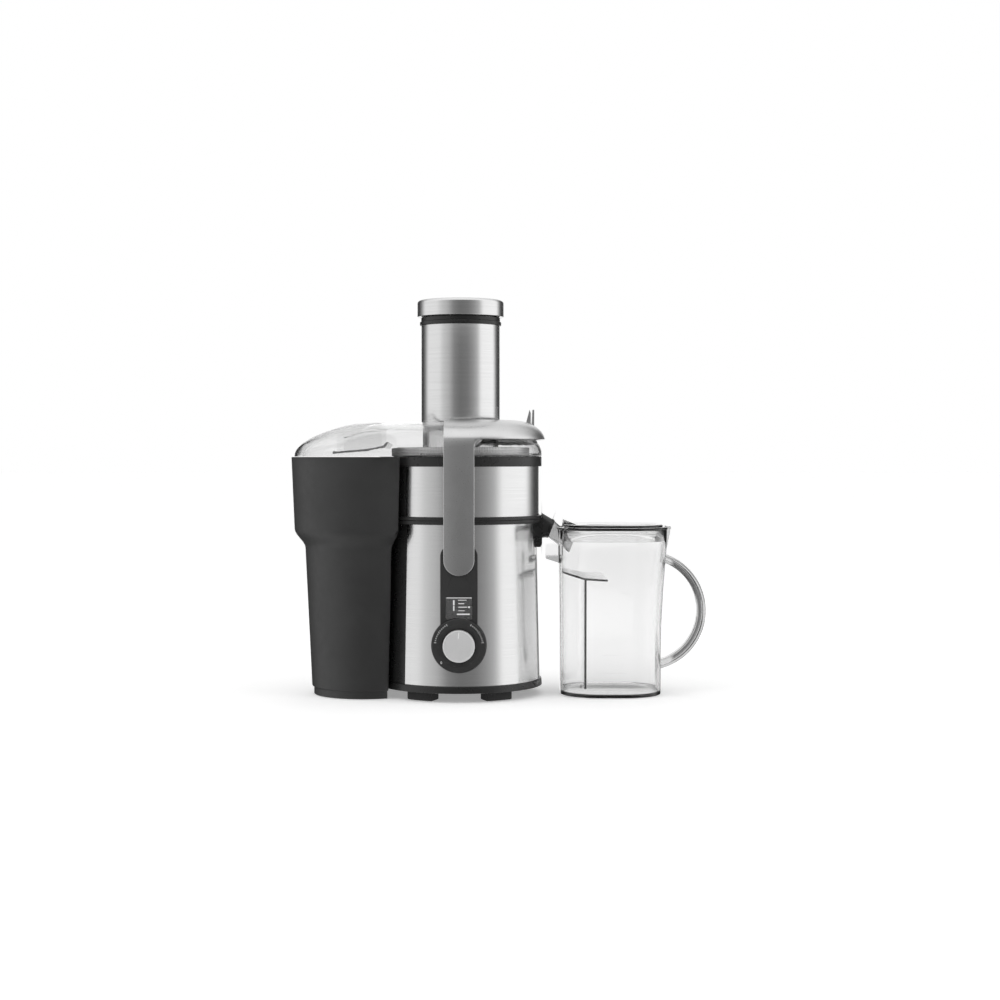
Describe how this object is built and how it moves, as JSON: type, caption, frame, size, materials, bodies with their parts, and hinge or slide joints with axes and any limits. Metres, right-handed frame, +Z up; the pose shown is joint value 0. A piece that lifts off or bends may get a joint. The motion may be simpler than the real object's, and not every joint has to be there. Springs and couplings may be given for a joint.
{
  "type": "centrifugal juicer",
  "caption": "Upright centrifugal juicer with a wide steel feed tube, clear lid, locking arm, dial and display, side pulp bin and clear juice jug.",
  "frame": {"origin": "on the worktop, under the middle of the machine's box; the drive axis stands 44 mm to -X of it", "axes": "+Z up; -Y is the front, with the dial; the jug is to +X and the pulp bin to -X"},
  "size_m": [0.4761, 0.208, 0.45],
  "materials": {
    "black_plastic": "fine satin",
    "charcoal_plastic": "fine matte texture",
    "brushed_steel": "brushed round the body",
    "satin_metal": "satin",
    "spun_metal": "spun face",
    "fine_steel": "satin, perforated",
    "zinc_steel": "zinc plated",
    "bearing_steel": "ground",
    "core_steel": "laminated",
    "cast_alloy": "as cast",
    "copper": "enamelled wire",
    "brass": "drawn",
    "carbon": "matte",
    "black_rubber": "matte",
    "grey_rubber": "satin",
    "clear_plastic": "clear, polished",
    "smoke_plastic": "smoked, polished",
    "display": "dark screen",
    "display_glass": "clear",
    "circuit_board": "lacquered",
    "white_mark": "printed"
  },
  "bodies": {
    "base": {"motor_housing": "black_plastic", "base_steel_wrap": "brushed_steel", "top_deck": "black_plastic", "bottom_cover": "black_plastic", "base_screws": "zinc_steel", "rubber_feet": "black_rubber", "cord_gland": "black_rubber", "splash_seal": "grey_rubber", "control_panel": "charcoal_plastic", "dial_bezel": "charcoal_plastic", "display_module": "display", "display_window": "display_glass", "dial_encoder": "black_plastic", "control_board": "circuit_board", "safety_switch": "black_plastic", "rear_pivot_plate": "charcoal_plastic", "motor_stator": "core_steel", "field_windings": "copper", "lower_bearing_bracket": "cast_alloy", "upper_bearing_bracket": "cast_alloy", "lower_bearing": "bearing_steel", "upper_bearing": "bearing_steel", "motor_screws": "zinc_steel", "motor_dampers": "black_rubber", "brush_holders": "brass", "carbon_brushes": "carbon", "juice_bowl": "black_plastic", "bowl_steel_wrap": "brushed_steel", "spout": "black_plastic", "spout_tip": "clear_plastic", "spout_cradle": "black_plastic", "lid": "clear_plastic", "lid_seal": "grey_rubber", "pulp_deflector": "clear_plastic", "feed_tube": "clear_plastic", "feed_tube_sleeve": "brushed_steel", "feed_tube_collar": "black_plastic"},
    "rotor": {"motor_shaft": "bearing_steel", "armature_core": "core_steel", "armature_windings": "copper", "commutator": "copper", "cooling_fan": "black_plastic", "drive_coupling": "black_plastic", "basket_hub": "black_plastic", "filter_basket": "fine_steel", "grater_disc": "fine_steel", "grater_screw": "fine_steel"},
    "knob": {"dial_knob": "spun_metal", "dial_index": "white_mark"},
    "arm": {"locking_arm": "satin_metal", "arm_pivot_pins": "zinc_steel", "arm_thumb_tab": "satin_metal"},
    "pusher": {"pusher_body": "smoke_plastic", "pusher_cap": "brushed_steel"},
    "bin": {"pulp_bin": "charcoal_plastic"},
    "jug": {"jug": "clear_plastic", "jug_handle": "clear_plastic", "froth_separator": "clear_plastic"},
    "jug_lid": {"jug_lid": "clear_plastic"}
  },
  "joints": [
    {"name": "basket_spin", "type": "hinge", "parent": "base", "child": "rotor", "pos_m": [-0.044, 0, 0.2], "axis": [0, 0, 1], "continuous": true},
    {"name": "knob_turn", "type": "hinge", "parent": "base", "child": "knob", "pos_m": [-0.044, -0.1, 0.0635], "axis": [0, -1, 0], "range_deg": [-140, 120]},
    {"name": "arm_swing", "type": "hinge", "parent": "base", "child": "arm", "pos_m": [-0.044, 0, 0.1574], "axis": [0, 1, 0], "range_deg": [0, 38]},
    {"name": "pusher_slide", "type": "slide", "parent": "base", "child": "pusher", "axis": [0, 0, 1], "range_m": [0, 0.185]},
    {"name": "bin_slide", "type": "slide", "parent": "base", "child": "bin", "axis": [-1, 0, 0], "range_m": [0, 0.12]},
    {"name": "jug_slide", "type": "slide", "parent": "base", "child": "jug", "axis": [1, 0, 0], "range_m": [0, 0.15]},
    {"name": "jug_lid_lift", "type": "slide", "parent": "jug", "child": "jug_lid", "axis": [0, 0, 1], "range_m": [0, 0.06]}
  ]
}
